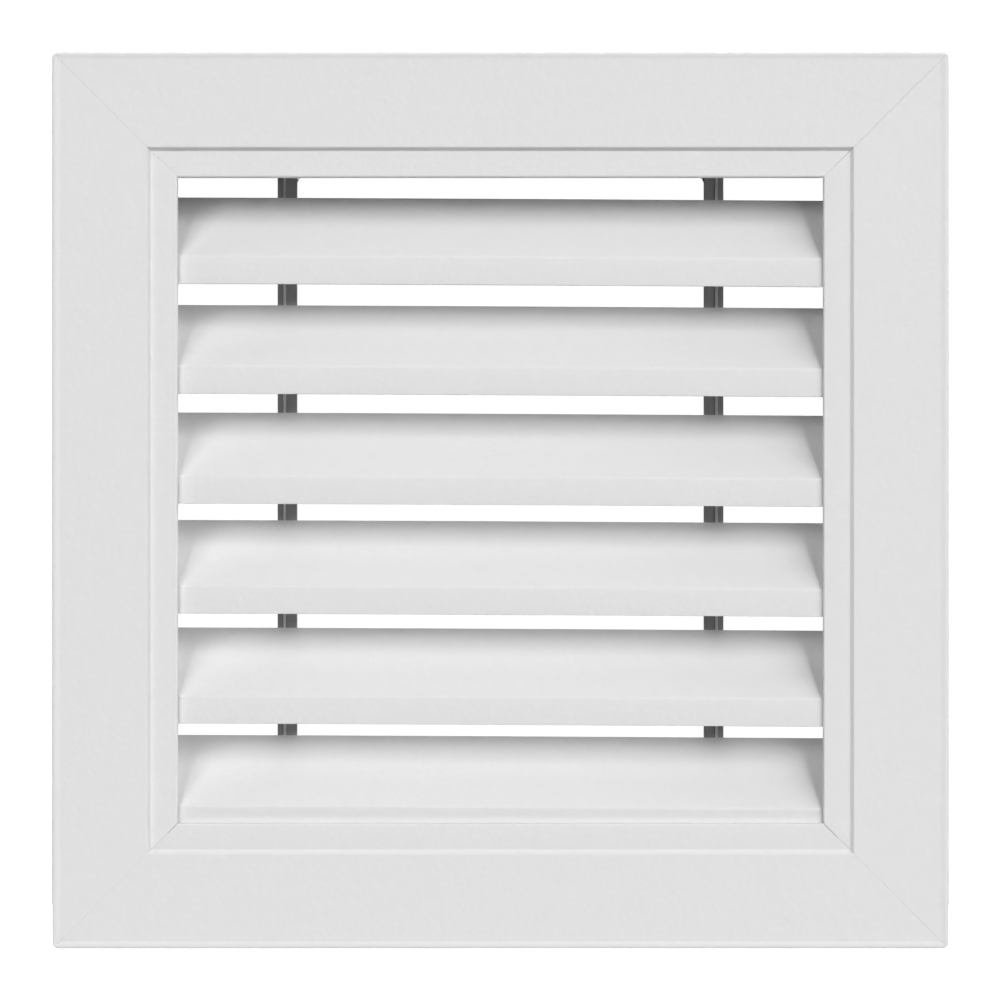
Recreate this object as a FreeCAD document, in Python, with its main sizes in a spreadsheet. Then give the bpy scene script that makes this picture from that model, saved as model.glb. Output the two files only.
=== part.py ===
import FreeCAD, Part
import Sketcher
import math
import os

# Louvred vent grille for a square opening of 160 mm, seen from the front along +Y.
# X points right, Z points up and the wall is the plane Y = 0.
# The origin is the centre of the neck where it passes through the wall.
# A mitred frame of four equal lengths carries six fixed louvres on two combs.
# The band round the opening laps over the ends of the louvres, and the neck stands
# behind the foot of the step, so the front hides both.

# Driving sizes in millimetres, and degrees for the roll
SIZES = {
    # Frame section, from the opening outwards
    "opening_size": 146.5,   # clear width and height inside the band
    "band_width": 6.05,      # recessed band round the opening
    "step_run": 0.7,         # sloped step between band and flange, seen from the front
    "flange_width": 21.5,    # flat flange outside the step
    "step_depth": 1.0,       # how far the band lies behind the flange
    "wall_thick": 1.4,       # wall of the extruded frame section
    "neck_depth": 30.0,      # neck behind the wall plane
    "rim_bead": 0.25,        # low bead along the outer edge, proud of the flange
    "rim_flank": 0.85,       # sloped inner side of the bead, seen from the front
    "rim_crest": 0.9,        # crest of the bead out to the edge
    "edge_round": 0.45,      # round along the outer front edge
    "step_round": 0.4,       # rounds at the top and the foot of the step
    "lead_round": 0.5,       # round along the inner edge of the band
    "corner_round": 1.6,     # outer corners of the frame, seen from the front
    "mitre_gap": 0.06,       # hairline between two mitred ends
    # Corner keys and the channel that holds them
    "key_width": 8.0,        # leg of the flat angle
    "key_thick": 2.0,        # sheet of the flat angle
    "key_leg": 34.0,         # length of each leg, outside
    "key_chamfer": 1.2,      # broken corners at the leg ends
    "key_clear": 0.1,        # play of the key in its channel, each side
    "hook_thick": 1.1,       # ribs and hooks of the channel
    "hook_reach": 1.5,       # how far a hook reaches over the key
    "hook_set": 1.3,         # room between the hooks and the wall
    # Louvres
    "louvre_count": 6,
    "louvre_rise": 15.25,    # height of the sloped face
    "louvre_run": 15.8,      # depth of the sloped face
    "louvre_thick": 1.0,
    "lip_drop": 6.35,        # vertical lip below the crease
    "lip_setback": 1.6,      # lip behind the face of the band
    "low_clear": 1.8,        # room between the lowest lip and the neck
    "hem_drop": 5.0,         # hem turned down at the back
    "crease_round": 1.0,     # outer round between lip and slope
    "crease_inner": 0.5,     # inner round behind the crease
    "hem_round": 0.3,        # outer round between slope and hem
    "hem_inner": 0.15,       # inner round under the hem
    "top_gap": 2.75,         # highest louvre below the edge of the band
    "end_gap": 0.5,          # room between the end of a louvre and the neck
    "louvre_roll": 0.3,      # the louvres hang a little lower on the right
    # Combs
    "comb_offset": 49.7,     # centre of each comb from the middle of the grille
    "comb_width": 4.5,
    "comb_thick": 1.6,
    "comb_gap": 0.4,         # room between the hems and the comb
    "comb_clear": 0.1,       # room between the feet and the neck
    "comb_bend": 0.8,        # inner round where the foot turns back
    "rib_width": 0.6,        # thin rib along the front of the comb
    "rib_proud": 0.6,
    "rib_shift": 0.6,        # rib outboard of the centre of the comb
    "tooth_thick": 1.6,
    "tooth_depth": 3.6,      # arm under the slope, square to it
    "tooth_root": 5.5,       # height where the arm meets the comb
    "tooth_toe": 2.2,        # toe of the arm below the crease
    "tooth_clear": 0.15,     # room between an arm and its louvre
    "foot_length": 11.0,     # foot along the neck, from the face of the comb
    # Comb screws
    "screw_set": 5.0,        # screw behind the back of the comb
    "screw_width": 2.5,
    "foot_hole": 2.8,
    "neck_hole": 2.6,
    "screw_tip": 0.15,       # tip outside the neck
    "head_width": 4.4,
    "head_height": 1.5,
    "head_chamfer": 0.5,     # sloped shoulder of the pan head
    "recess_length": 2.6,    # cross recess in the head
    "recess_width": 0.6,
    "recess_depth": 0.8,
    # Holes in the side walls of the neck, for fixing to a duct
    "duct_hole": 4.2,
    "duct_hole_span": 90.0,
    "duct_hole_set": 8.0,    # hole in front of the rear edge of the neck
}

# Places worked out from the driving sizes
LAYOUT = {
    "half_opening": "Sizes.opening_size / 2",
    "step_inner": "half_opening + Sizes.band_width",
    "neck_outer": "step_inner",
    "neck_inner": "neck_outer - Sizes.wall_thick",
    "step_outer": "step_inner + Sizes.step_run",
    "rim_outer": "step_outer + Sizes.flange_width",
    "rim_inner": "rim_outer - Sizes.wall_thick",
    "step_slant": "sqrt(Sizes.step_run * Sizes.step_run + Sizes.step_depth * Sizes.step_depth)",
    "step_shift": "Sizes.wall_thick * (step_slant - Sizes.step_run) / Sizes.step_depth",
    "key_line": "step_outer + Sizes.flange_width / 2",
    "channel_half": "Sizes.key_width / 2 + Sizes.key_clear",
    "rib_half": "channel_half + Sizes.hook_thick",
    "hook_tip": "channel_half - Sizes.hook_reach",
    "channel_depth": "Sizes.key_thick + 2 * Sizes.key_clear",
    "hook_back": "-Sizes.hook_set",
    "hook_front": "hook_back - Sizes.hook_thick",
    "flange_back": "hook_front - channel_depth",
    "front_face": "flange_back - Sizes.wall_thick",
    "bead_face": "front_face - Sizes.rim_bead",
    "bead_crest": "rim_outer - Sizes.rim_crest",
    "bead_foot": "bead_crest - Sizes.rim_flank",
    "band_face": "front_face + Sizes.step_depth",
    "band_back": "band_face + Sizes.wall_thick",
    "mitre_shift": "Sizes.mitre_gap * sqrt(2) / 2",
    "lip_face": "band_face + Sizes.lip_setback",
    "hem_back": "lip_face + Sizes.louvre_run",
    "slope_ratio": "Sizes.louvre_rise / Sizes.louvre_run",
    "slope_secant": "sqrt(1 + slope_ratio * slope_ratio)",
    "underside": "Sizes.louvre_thick * slope_secant",
    "louvre_length": "2 * (neck_inner - Sizes.end_gap)",
    "top_crease": "half_opening - Sizes.top_gap - Sizes.louvre_rise",
    "low_crease": "Sizes.lip_drop + Sizes.low_clear - neck_inner",
    "louvre_pitch": "(top_crease - low_crease) / (Sizes.louvre_count - 1)",
    "rib_face": "hem_back + Sizes.comb_gap",
    "comb_face": "rib_face + Sizes.rib_proud",
    "comb_back": "comb_face + Sizes.comb_thick",
    "foot_end": "comb_face + Sizes.foot_length",
    "foot_outer": "neck_inner - Sizes.comb_clear",
    "foot_inner": "foot_outer - Sizes.comb_thick",
    "screw_line": "comb_back + Sizes.screw_set",
    "tooth_skin": "Sizes.louvre_thick + Sizes.tooth_clear",
    "tooth_top": "tooth_skin * slope_secant",
    "tooth_base": "(tooth_skin + Sizes.tooth_depth) * slope_secant",
    "tooth_seat": "Sizes.louvre_rise - Sizes.hem_drop - Sizes.tooth_clear",
    "tooth_heel": "tooth_seat - Sizes.tooth_root",
    "tooth_line": "Sizes.comb_offset + Sizes.rib_shift",
    "tooth_drop": "tooth_line * tan(Sizes.louvre_roll * 1 deg)",
    "duct_hole_line": "Sizes.neck_depth - Sizes.duct_hole_set",
}

# Reach of a cutting outline past the piece that it trims
OVERRUN = 5.0
# How close a corner of the solid lies to the spot that names it
SPOT_TOLERANCE = 1e-4

doc = FreeCAD.newDocument("vent_grille")


def fill_sheet(name, cells):
    """Write one value and its alias on each row."""
    sheet = doc.addObject("Spreadsheet::Sheet", name)
    for row, (alias, content) in enumerate(cells.items(), start=1):
        cell = f"A{row}"
        sheet.set(cell, content)
        sheet.setAlias(cell, alias)
    doc.recompute()
    return sheet


sizes = fill_sheet("Sizes", {alias: str(number) for alias, number in SIZES.items()})
layout = fill_sheet("Layout", {alias: "=" + formula for alias, formula in LAYOUT.items()})


def value(formula):
    """Return the number that a formula of the sheets gives now."""
    return float(layout.evalExpression(formula))


def new_body(label):
    """Start one sub-part."""
    body = doc.addObject("PartDesign::Body", label)
    body.Label = label
    return body


def origin_feature(body, role):
    """Return a plane or axis of the body's own origin."""
    return next(feature for feature in body.Origin.OriginFeatures if feature.Role == role)


def new_sketch(body, name, role, offset="0"):
    """Start a sketch on an origin plane, moved along the plane's normal."""
    sketch = body.newObject("Sketcher::SketchObject", f"{body.Name}_{name}")
    sketch.AttachmentSupport = (origin_feature(body, role), [""])
    sketch.MapMode = "FlatFace"
    sketch.setExpression("AttachmentOffset.Base.z", offset)
    return sketch


def hold(sketch, kind, geometry, point, formula):
    """Fix one coordinate of a point to a formula."""
    distance = Sketcher.Constraint(kind, -1, 1, geometry, point, value(formula))
    index = sketch.addConstraint(distance)
    sketch.setExpression(f"Constraints[{index}]", formula)


def outline(sketch, corners):
    """Draw a closed outline through corners given as pairs of formulas."""
    points = [FreeCAD.Vector(value(across), value(up), 0) for across, up in corners]
    ends = points[1:] + points[:1]
    for start, end in zip(points, ends):
        sketch.addGeometry(Part.LineSegment(start, end), False)
    for side in range(len(corners)):
        following = (side + 1) % len(corners)
        sketch.addConstraint(Sketcher.Constraint("Coincident", side, 2, following, 1))
    for side, (across, up) in enumerate(corners):
        hold(sketch, "DistanceX", side, 1, across)
        hold(sketch, "DistanceY", side, 1, up)


def circle(sketch, across, up, diameter):
    """Draw a circle with its centre and diameter given as formulas."""
    centre = FreeCAD.Vector(value(across), value(up), 0)
    normal = FreeCAD.Vector(0, 0, 1)
    index = sketch.addGeometry(Part.Circle(centre, normal, value(diameter) / 2), False)
    hold(sketch, "DistanceX", index, 3, across)
    hold(sketch, "DistanceY", index, 3, up)
    number = sketch.addConstraint(Sketcher.Constraint("Diameter", index, value(diameter)))
    sketch.setExpression(f"Constraints[{number}]", diameter)


def corner_outline(sketch, outer, radius, reach):
    """Draw the waste outside the rounded lower left corner of a square."""
    middle = value(f"{radius} - {outer}")
    edge = -value(outer)
    far = -value(reach)
    centre = FreeCAD.Vector(middle, middle, 0)
    low = FreeCAD.Vector(middle, edge, 0)
    side = FreeCAD.Vector(edge, middle, 0)
    quarter = Part.ArcOfCircle(Part.Circle(centre, FreeCAD.Vector(0, 0, 1), value(radius)),
                               math.radians(180), math.radians(270))
    corners = [low, FreeCAD.Vector(middle, far, 0), FreeCAD.Vector(far, far, 0),
               FreeCAD.Vector(far, middle, 0), side]
    sketch.addGeometry(quarter, False)
    for start, end in zip(corners, corners[1:]):
        sketch.addGeometry(Part.LineSegment(start, end), False)
    links = [(0, 2, 1, 1), (1, 2, 2, 1), (2, 2, 3, 1), (3, 2, 4, 1), (4, 2, 0, 1)]
    for link in links:
        sketch.addConstraint(Sketcher.Constraint("Coincident", *link))
    for line, direction in zip(range(1, 5), ("Vertical", "Horizontal", "Vertical", "Horizontal")):
        sketch.addConstraint(Sketcher.Constraint(direction, line))
    number = sketch.addConstraint(Sketcher.Constraint("Radius", 0, value(radius)))
    sketch.setExpression(f"Constraints[{number}]", radius)
    hold(sketch, "DistanceX", 0, 3, f"{radius} - {outer}")
    hold(sketch, "DistanceY", 0, 3, f"{radius} - {outer}")
    hold(sketch, "DistanceX", 0, 2, f"{radius} - {outer}")
    hold(sketch, "DistanceY", 0, 1, f"{radius} - {outer}")
    hold(sketch, "DistanceX", 3, 1, f"-({reach})")
    hold(sketch, "DistanceY", 1, 2, f"-({reach})")


def new_pad(body, name, sketch, length, both_sides=False):
    """Raise a sketch along its normal, or evenly to both sides of it."""
    pad = body.newObject("PartDesign::Pad", f"{body.Name}_{name}")
    pad.Profile = sketch
    pad.Midplane = both_sides
    pad.setExpression("Length", length)
    doc.recompute()
    return pad


def new_pocket(body, name, sketch):
    """Cut a sketch through everything on both sides of it."""
    before = body.Shape.Volume
    pocket = body.newObject("PartDesign::Pocket", f"{body.Name}_{name}")
    pocket.Profile = sketch
    pocket.Type = "ThroughAll"
    pocket.Midplane = True
    doc.recompute()
    if not body.Shape.Volume < before:
        raise RuntimeError(f"{pocket.Name} cuts nothing")
    return pocket


def round_edges(body, name, radius, spots):
    """Round the edges along X that pass through spots given as pairs of formulas."""
    base = body.Tip
    places = [(value(depth), value(height)) for depth, height in spots]
    names = []
    for number, edge in enumerate(base.Shape.Edges, start=1):
        for depth, height in places:
            if all(abs(corner.Y - depth) < SPOT_TOLERANCE
                   and abs(corner.Z - height) < SPOT_TOLERANCE for corner in edge.Vertexes):
                names.append(f"Edge{number}")
    if len(names) != len(places):
        raise RuntimeError(f"{body.Name} has {len(names)} edges for {name}")
    fillet = body.newObject("PartDesign::Fillet", f"{body.Name}_{name}")
    fillet.Base = (base, names)
    fillet.setExpression("Radius", radius)
    doc.recompute()


def mirror_across(body, name, features, role):
    """Repeat features on the other side of an origin plane."""
    mirrored = body.newObject("PartDesign::Mirrored", f"{body.Name}_{name}")
    mirrored.Originals = features
    mirrored.MirrorPlane = (origin_feature(body, role), [""])
    body.Tip = mirrored
    doc.recompute()


def turn_about_depth(body, angle):
    """Turn a sub-part about the Y axis through the middle of the grille."""
    body.Placement = FreeCAD.Placement(
        FreeCAD.Vector(0, 0, 0), FreeCAD.Rotation(FreeCAD.Vector(0, 1, 0), angle))


def frame_length(label, angle, hole_across, hole_line, hole_size):
    """Make one mitred length of the frame, drawn as the bottom one."""
    body = new_body(label)
    section = new_sketch(body, "section", "YZ_Plane")
    outline(section, [
        ("0", "-Layout.rim_outer"),
        ("Layout.bead_face", "-Layout.rim_outer"),
        ("Layout.bead_face", "-Layout.bead_crest"),
        ("Layout.front_face", "-Layout.bead_foot"),
        ("Layout.front_face", "-Layout.step_outer"),
        ("Layout.band_face", "-Layout.step_inner"),
        ("Layout.band_face", "-Layout.half_opening"),
        ("Layout.band_back", "-Layout.half_opening"),
        ("Layout.band_back", "-Layout.neck_inner"),
        ("Sizes.neck_depth", "-Layout.neck_inner"),
        ("Sizes.neck_depth", "-Layout.neck_outer"),
        ("Layout.band_back", "-Layout.neck_outer"),
        ("Layout.band_back", "-Layout.step_inner - Layout.step_shift"),
        ("Layout.flange_back", "-Layout.step_outer - Layout.step_shift"),
        ("Layout.flange_back", "Layout.rib_half - Layout.key_line"),
        ("Layout.hook_back", "Layout.rib_half - Layout.key_line"),
        ("Layout.hook_back", "Layout.hook_tip - Layout.key_line"),
        ("Layout.hook_front", "Layout.hook_tip - Layout.key_line"),
        ("Layout.hook_front", "Layout.channel_half - Layout.key_line"),
        ("Layout.flange_back", "Layout.channel_half - Layout.key_line"),
        ("Layout.flange_back", "-Layout.channel_half - Layout.key_line"),
        ("Layout.hook_front", "-Layout.channel_half - Layout.key_line"),
        ("Layout.hook_front", "-Layout.hook_tip - Layout.key_line"),
        ("Layout.hook_back", "-Layout.hook_tip - Layout.key_line"),
        ("Layout.hook_back", "-Layout.rib_half - Layout.key_line"),
        ("Layout.flange_back", "-Layout.rib_half - Layout.key_line"),
        ("Layout.flange_back", "-Layout.rim_inner"),
        ("0", "-Layout.rim_inner"),
    ])
    new_pad(body, "bar", section, "2 * Layout.rim_outer", both_sides=True)
    round_edges(body, "outer_round", "Sizes.edge_round",
                [("Layout.bead_face", "-Layout.rim_outer")])
    round_edges(body, "step_rounds", "Sizes.step_round",
                [("Layout.front_face", "-Layout.step_outer"),
                 ("Layout.band_face", "-Layout.step_inner")])
    round_edges(body, "lead_in", "Sizes.lead_round",
                [("Layout.band_face", "-Layout.half_opening")])

    outside = f"(Layout.rim_outer + {OVERRUN})"
    inside = f"(Layout.half_opening - {OVERRUN})"
    mitre_sketch = new_sketch(body, "mitre_line", "XZ_Plane")
    outline(mitre_sketch, [
        (f"Layout.mitre_shift - {outside}", f"-{outside}"),
        (f"Layout.mitre_shift - {inside}", f"-{inside}"),
        (f"-{outside}", f"-{inside}"),
    ])
    mitre = new_pocket(body, "mitre", mitre_sketch)
    corner_sketch = new_sketch(body, "corner_line", "XZ_Plane")
    corner_outline(corner_sketch, "Layout.rim_outer", "Sizes.corner_round", outside)
    corner = new_pocket(body, "corner", corner_sketch)
    mirror_across(body, "far_end", [mitre, corner], "YZ_Plane")

    holes_sketch = new_sketch(body, "hole_places", "XY_Plane")
    circle(holes_sketch, hole_across, hole_line, hole_size)
    circle(holes_sketch, f"-({hole_across})", hole_line, hole_size)
    new_pocket(body, "holes", holes_sketch)
    turn_about_depth(body, angle)
    return body


def corner_key(label, angle):
    """Make one flat angle, drawn in the lower left corner."""
    body = new_body(label)
    plate = new_sketch(body, "plate", "XZ_Plane",
                       "-(Layout.flange_back + Sizes.key_clear + Sizes.key_thick)")
    outer = "(Layout.key_line + Sizes.key_width / 2)"
    inner = "(Layout.key_line - Sizes.key_width / 2)"
    leg_end = f"({outer} - Sizes.key_leg)"
    cut_end = f"({leg_end} + Sizes.key_chamfer)"
    outline(plate, [
        (f"-{outer}", f"-{outer}"),
        (f"-{cut_end}", f"-{outer}"),
        (f"-{leg_end}", f"Sizes.key_chamfer - {outer}"),
        (f"-{leg_end}", f"-{inner} - Sizes.key_chamfer"),
        (f"-{cut_end}", f"-{inner}"),
        (f"-{inner}", f"-{inner}"),
        (f"-{inner}", f"-{cut_end}"),
        (f"-{inner} - Sizes.key_chamfer", f"-{leg_end}"),
        (f"Sizes.key_chamfer - {outer}", f"-{leg_end}"),
        (f"-{outer}", f"-{cut_end}"),
    ])
    new_pad(body, "sheet", plate, "Sizes.key_thick")
    turn_about_depth(body, angle)
    return body


def louvre(label, steps_down):
    """Make one blade, with its crease at the height of its own step."""
    body = new_body(label)
    section = new_sketch(body, "section", "YZ_Plane")
    hem_face = "(Layout.hem_back - Sizes.louvre_thick)"
    lip_back = "(Layout.lip_face + Sizes.louvre_thick)"
    under_hem = f"({hem_face} - Layout.lip_face) * Layout.slope_ratio - Layout.underside"
    under_crease = "Sizes.louvre_thick * Layout.slope_ratio - Layout.underside"
    outline(section, [
        ("Layout.lip_face", "0"),
        ("Layout.hem_back", "Sizes.louvre_rise"),
        ("Layout.hem_back", "Sizes.louvre_rise - Sizes.hem_drop"),
        (hem_face, "Sizes.louvre_rise - Sizes.hem_drop"),
        (hem_face, under_hem),
        (lip_back, under_crease),
        (lip_back, "-Sizes.lip_drop"),
        ("Layout.lip_face", "-Sizes.lip_drop"),
    ])
    new_pad(body, "blade", section, "Layout.louvre_length", both_sides=True)
    round_edges(body, "crease", "Sizes.crease_round", [("Layout.lip_face", "0")])
    round_edges(body, "crease_inside", "Sizes.crease_inner", [(lip_back, under_crease)])
    round_edges(body, "hem_edge", "Sizes.hem_round", [("Layout.hem_back", "Sizes.louvre_rise")])
    round_edges(body, "hem_inside", "Sizes.hem_inner", [(hem_face, under_hem)])
    turn_about_depth(body, value("Sizes.louvre_roll"))
    body.setExpression("Placement.Rotation.Angle", "Sizes.louvre_roll * 1 deg")
    body.setExpression("Placement.Base.z",
                       f"Layout.top_crease - {steps_down} * Layout.louvre_pitch")
    return body


def comb(label, side):
    """Make one comb, with its teeth under the louvres at its own side."""
    body = new_body(label)
    strip = new_sketch(body, "strip", "YZ_Plane")
    outline(strip, [
        ("Layout.comb_face", "Layout.foot_outer"),
        ("Layout.foot_end", "Layout.foot_outer"),
        ("Layout.foot_end", "Layout.foot_inner"),
        ("Layout.comb_back", "Layout.foot_inner"),
        ("Layout.comb_back", "-Layout.foot_inner"),
        ("Layout.foot_end", "-Layout.foot_inner"),
        ("Layout.foot_end", "-Layout.foot_outer"),
        ("Layout.comb_face", "-Layout.foot_outer"),
    ])
    new_pad(body, "spine", strip, "Sizes.comb_width", both_sides=True)
    round_edges(body, "bends", "Sizes.comb_bend",
                [("Layout.comb_back", "Layout.foot_inner"),
                 ("Layout.comb_back", "-Layout.foot_inner")])

    rib_place = f"{side} * Sizes.rib_shift"
    rib_line = new_sketch(body, "rib_line", "YZ_Plane", rib_place)
    outline(rib_line, [
        ("Layout.rib_face", "Layout.foot_inner"),
        ("Layout.comb_face", "Layout.foot_outer"),
        ("Layout.comb_face", "-Layout.foot_outer"),
        ("Layout.rib_face", "-Layout.foot_inner"),
    ])
    new_pad(body, "rib", rib_line, "Sizes.rib_width", both_sides=True)

    crease = f"(Layout.low_crease - {side} * Layout.tooth_drop)"
    lip_side = "(Layout.lip_face + Layout.tooth_skin)"
    hem_side = "(Layout.hem_back - Layout.tooth_skin)"
    heel = "((Layout.tooth_heel + Layout.tooth_base) / Layout.slope_ratio)"
    toe = "((Layout.tooth_base - Sizes.tooth_toe) / Layout.slope_ratio)"
    arm = new_sketch(body, "arm", "YZ_Plane", rib_place)
    outline(arm, [
        (lip_side, f"{crease} + Layout.tooth_skin * Layout.slope_ratio - Layout.tooth_top"),
        (hem_side, f"{crease} + ({hem_side} - Layout.lip_face) * Layout.slope_ratio"
                   " - Layout.tooth_top"),
        (hem_side, f"{crease} + Layout.tooth_seat"),
        ("Layout.comb_face", f"{crease} + Layout.tooth_seat"),
        ("Layout.comb_face", f"{crease} + Layout.tooth_heel"),
        (f"Layout.lip_face + {heel}", f"{crease} + Layout.tooth_heel"),
        (f"Layout.lip_face + {toe}", f"{crease} - Sizes.tooth_toe"),
        (lip_side, f"{crease} - Sizes.tooth_toe"),
    ])
    tooth = new_pad(body, "tooth", arm, "Sizes.tooth_thick", both_sides=True)
    teeth = body.newObject("PartDesign::LinearPattern", f"{body.Name}_teeth")
    teeth.Originals = [tooth]
    teeth.Direction = (origin_feature(body, "Z_Axis"), [""])
    teeth.setExpression("Length", "(Sizes.louvre_count - 1) * Layout.louvre_pitch")
    teeth.setExpression("Occurrences", "Sizes.louvre_count")
    body.Tip = teeth
    doc.recompute()

    hole_place = new_sketch(body, "hole_place", "XY_Plane")
    circle(hole_place, "0", "Layout.screw_line", "Sizes.foot_hole")
    new_pocket(body, "foot_holes", hole_place)
    body.setExpression("Placement.Base.x", f"{side} * Sizes.comb_offset")
    return body


def comb_screw(label, side, end):
    """Make one pan head screw, drawn with its tip up and its seat at the origin."""
    body = new_body(label)
    half_section = new_sketch(body, "half_section", "XZ_Plane")
    outline(half_section, [
        ("0", "-Sizes.head_height"),
        ("Sizes.head_width / 2 - Sizes.head_chamfer", "-Sizes.head_height"),
        ("Sizes.head_width / 2", "Sizes.head_chamfer - Sizes.head_height"),
        ("Sizes.head_width / 2", "0"),
        ("Sizes.screw_width / 2", "0"),
        ("Sizes.screw_width / 2",
         "Layout.neck_outer + Sizes.screw_tip - Layout.foot_inner"),
        ("0", "Layout.neck_outer + Sizes.screw_tip - Layout.foot_inner"),
    ])
    turned = body.newObject("PartDesign::Revolution", f"{body.Name}_turned")
    turned.Profile = half_section
    turned.ReferenceAxis = (half_section, ["V_Axis"])
    turned.Angle = 360
    doc.recompute()

    slot_line = new_sketch(body, "slot_line", "XY_Plane", "-Sizes.head_height")
    outline(slot_line, [
        ("-Sizes.recess_length / 2", "-Sizes.recess_width / 2"),
        ("Sizes.recess_length / 2", "-Sizes.recess_width / 2"),
        ("Sizes.recess_length / 2", "Sizes.recess_width / 2"),
        ("-Sizes.recess_length / 2", "Sizes.recess_width / 2"),
    ])
    before = body.Shape.Volume
    slot = body.newObject("PartDesign::Pocket", f"{body.Name}_slot")
    slot.Profile = slot_line
    slot.Reversed = True
    slot.setExpression("Length", "Sizes.recess_depth")
    doc.recompute()
    if not body.Shape.Volume < before:
        raise RuntimeError(f"{slot.Name} cuts nothing")
    cross = body.newObject("PartDesign::PolarPattern", f"{body.Name}_cross")
    cross.Originals = [slot]
    cross.Axis = (origin_feature(body, "Z_Axis"), [""])
    cross.Angle = 90
    cross.Occurrences = 2
    body.Tip = cross
    doc.recompute()

    turn = 0 if end > 0 else 180
    body.Placement = FreeCAD.Placement(
        FreeCAD.Vector(0, 0, 0), FreeCAD.Rotation(FreeCAD.Vector(0, 1, 0), turn))
    body.setExpression("Placement.Base.x", f"{side} * Sizes.comb_offset")
    body.setExpression("Placement.Base.y", "Layout.screw_line")
    body.setExpression("Placement.Base.z", f"{end} * Layout.foot_inner")
    return body


# The comb screws pass through the top and bottom of the neck, and a duct is
# fastened through its two sides.
pieces = []
for label, angle in (("frame_bottom", 0), ("frame_top", 180)):
    pieces.append(frame_length(label, angle, "Sizes.comb_offset", "Layout.screw_line",
                               "Sizes.neck_hole"))
for label, angle in (("frame_left", 90), ("frame_right", 270)):
    pieces.append(frame_length(label, angle, "Sizes.duct_hole_span / 2",
                               "Layout.duct_hole_line", "Sizes.duct_hole"))

for label, angle in (("corner_key_bottom_left", 0), ("corner_key_top_left", 90),
                     ("corner_key_top_right", 180), ("corner_key_bottom_right", 270)):
    pieces.append(corner_key(label, angle))

for step in range(int(value("Sizes.louvre_count"))):
    pieces.append(louvre(f"louvre_{step + 1}", step))

for side_name, side in (("left", -1), ("right", 1)):
    pieces.append(comb(f"comb_{side_name}", side))
    for end_name, end in (("bottom", -1), ("top", 1)):
        pieces.append(comb_screw(f"comb_screw_{end_name}_{side_name}", side, end))

doc.recompute()

failed = [item.Name for item in doc.Objects
          if "Invalid" in item.State or "Error" in item.State]
if failed:
    raise RuntimeError(f"these objects failed: {failed}")
for piece in pieces:
    if piece.Shape.isNull() or not piece.Shape.isValid() or len(piece.Shape.Solids) != 1:
        raise RuntimeError(f"{piece.Label} is not one valid solid")

os.makedirs("parts", exist_ok=True)
for piece in pieces:
    piece.Shape.exportStep(os.path.join("parts", f"{piece.Label}.step"))
    box = piece.Shape.BoundBox
    print(f"{piece.Label}: {piece.Shape.Volume:.1f} mm3,"
          f" {box.XLength:.2f} x {box.YLength:.2f} x {box.ZLength:.2f} mm")
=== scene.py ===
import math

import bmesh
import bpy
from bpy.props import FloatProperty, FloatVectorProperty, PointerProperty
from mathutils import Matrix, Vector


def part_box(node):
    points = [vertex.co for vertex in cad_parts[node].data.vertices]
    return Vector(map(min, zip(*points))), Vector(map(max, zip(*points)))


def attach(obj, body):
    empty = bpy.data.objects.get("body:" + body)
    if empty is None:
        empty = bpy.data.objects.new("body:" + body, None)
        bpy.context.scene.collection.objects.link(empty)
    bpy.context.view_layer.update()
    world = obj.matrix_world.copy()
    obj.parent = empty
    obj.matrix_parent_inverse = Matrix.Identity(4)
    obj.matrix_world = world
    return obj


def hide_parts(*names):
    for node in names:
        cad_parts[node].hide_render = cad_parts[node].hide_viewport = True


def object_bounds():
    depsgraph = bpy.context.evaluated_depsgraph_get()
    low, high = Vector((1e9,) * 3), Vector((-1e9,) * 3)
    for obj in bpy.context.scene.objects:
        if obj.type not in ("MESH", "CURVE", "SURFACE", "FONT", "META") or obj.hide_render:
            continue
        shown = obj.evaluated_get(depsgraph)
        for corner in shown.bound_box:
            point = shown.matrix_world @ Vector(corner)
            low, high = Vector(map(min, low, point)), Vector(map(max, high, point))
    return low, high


bl_info = {
    "name": "Louvred vent grille",
    "version": (1, 0, 0),
    "blender": (4, 5, 0),
    "location": "View3D > Sidebar > Grille",
    "description": "Finishes a louvred vent grille and sets up its studio",
    "category": "Object",
}

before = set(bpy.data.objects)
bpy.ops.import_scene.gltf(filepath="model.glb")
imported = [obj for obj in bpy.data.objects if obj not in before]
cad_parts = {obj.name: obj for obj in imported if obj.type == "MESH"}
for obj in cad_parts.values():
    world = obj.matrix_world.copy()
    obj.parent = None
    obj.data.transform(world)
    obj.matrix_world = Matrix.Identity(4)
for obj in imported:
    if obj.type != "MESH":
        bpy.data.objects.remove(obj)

CAD_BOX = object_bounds()
BODY = "root"
MM = 0.001

FRAME_NODES = ("frame_bottom", "frame_left", "frame_top", "frame_right")
KEY_NODES = ("corner_key_bottom_left", "corner_key_top_left",
             "corner_key_top_right", "corner_key_bottom_right")
LOUVRE_NODES = tuple(f"louvre_{number}" for number in range(1, 7))
COMB_NODES = ("comb_left", "comb_right")
SCREW_NODES = ("comb_screw_bottom_left", "comb_screw_top_left",
               "comb_screw_bottom_right", "comb_screw_top_right")

# An edge that turns more than this stays sharp, and less is a facet of a round
SMOOTH_ANGLE = math.radians(35.0)
# Two flats of at least this area meet in a crease once they turn more than this angle
WIDE_FLAT = 80 * MM * MM
FLAT_ANGLE = math.radians(5.0)
# The bead along the top looks down and melts into the flange, so it creases later
MELTED_ANGLE = math.radians(20.0)
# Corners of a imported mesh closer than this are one, and faces this level are one
WELD = 0.01 * MM
LEVEL_ANGLE = math.radians(0.5)

# A noise keeps nearly all of its values between these
NOISE_LOW, NOISE_HIGH = 0.3, 0.7

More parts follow.
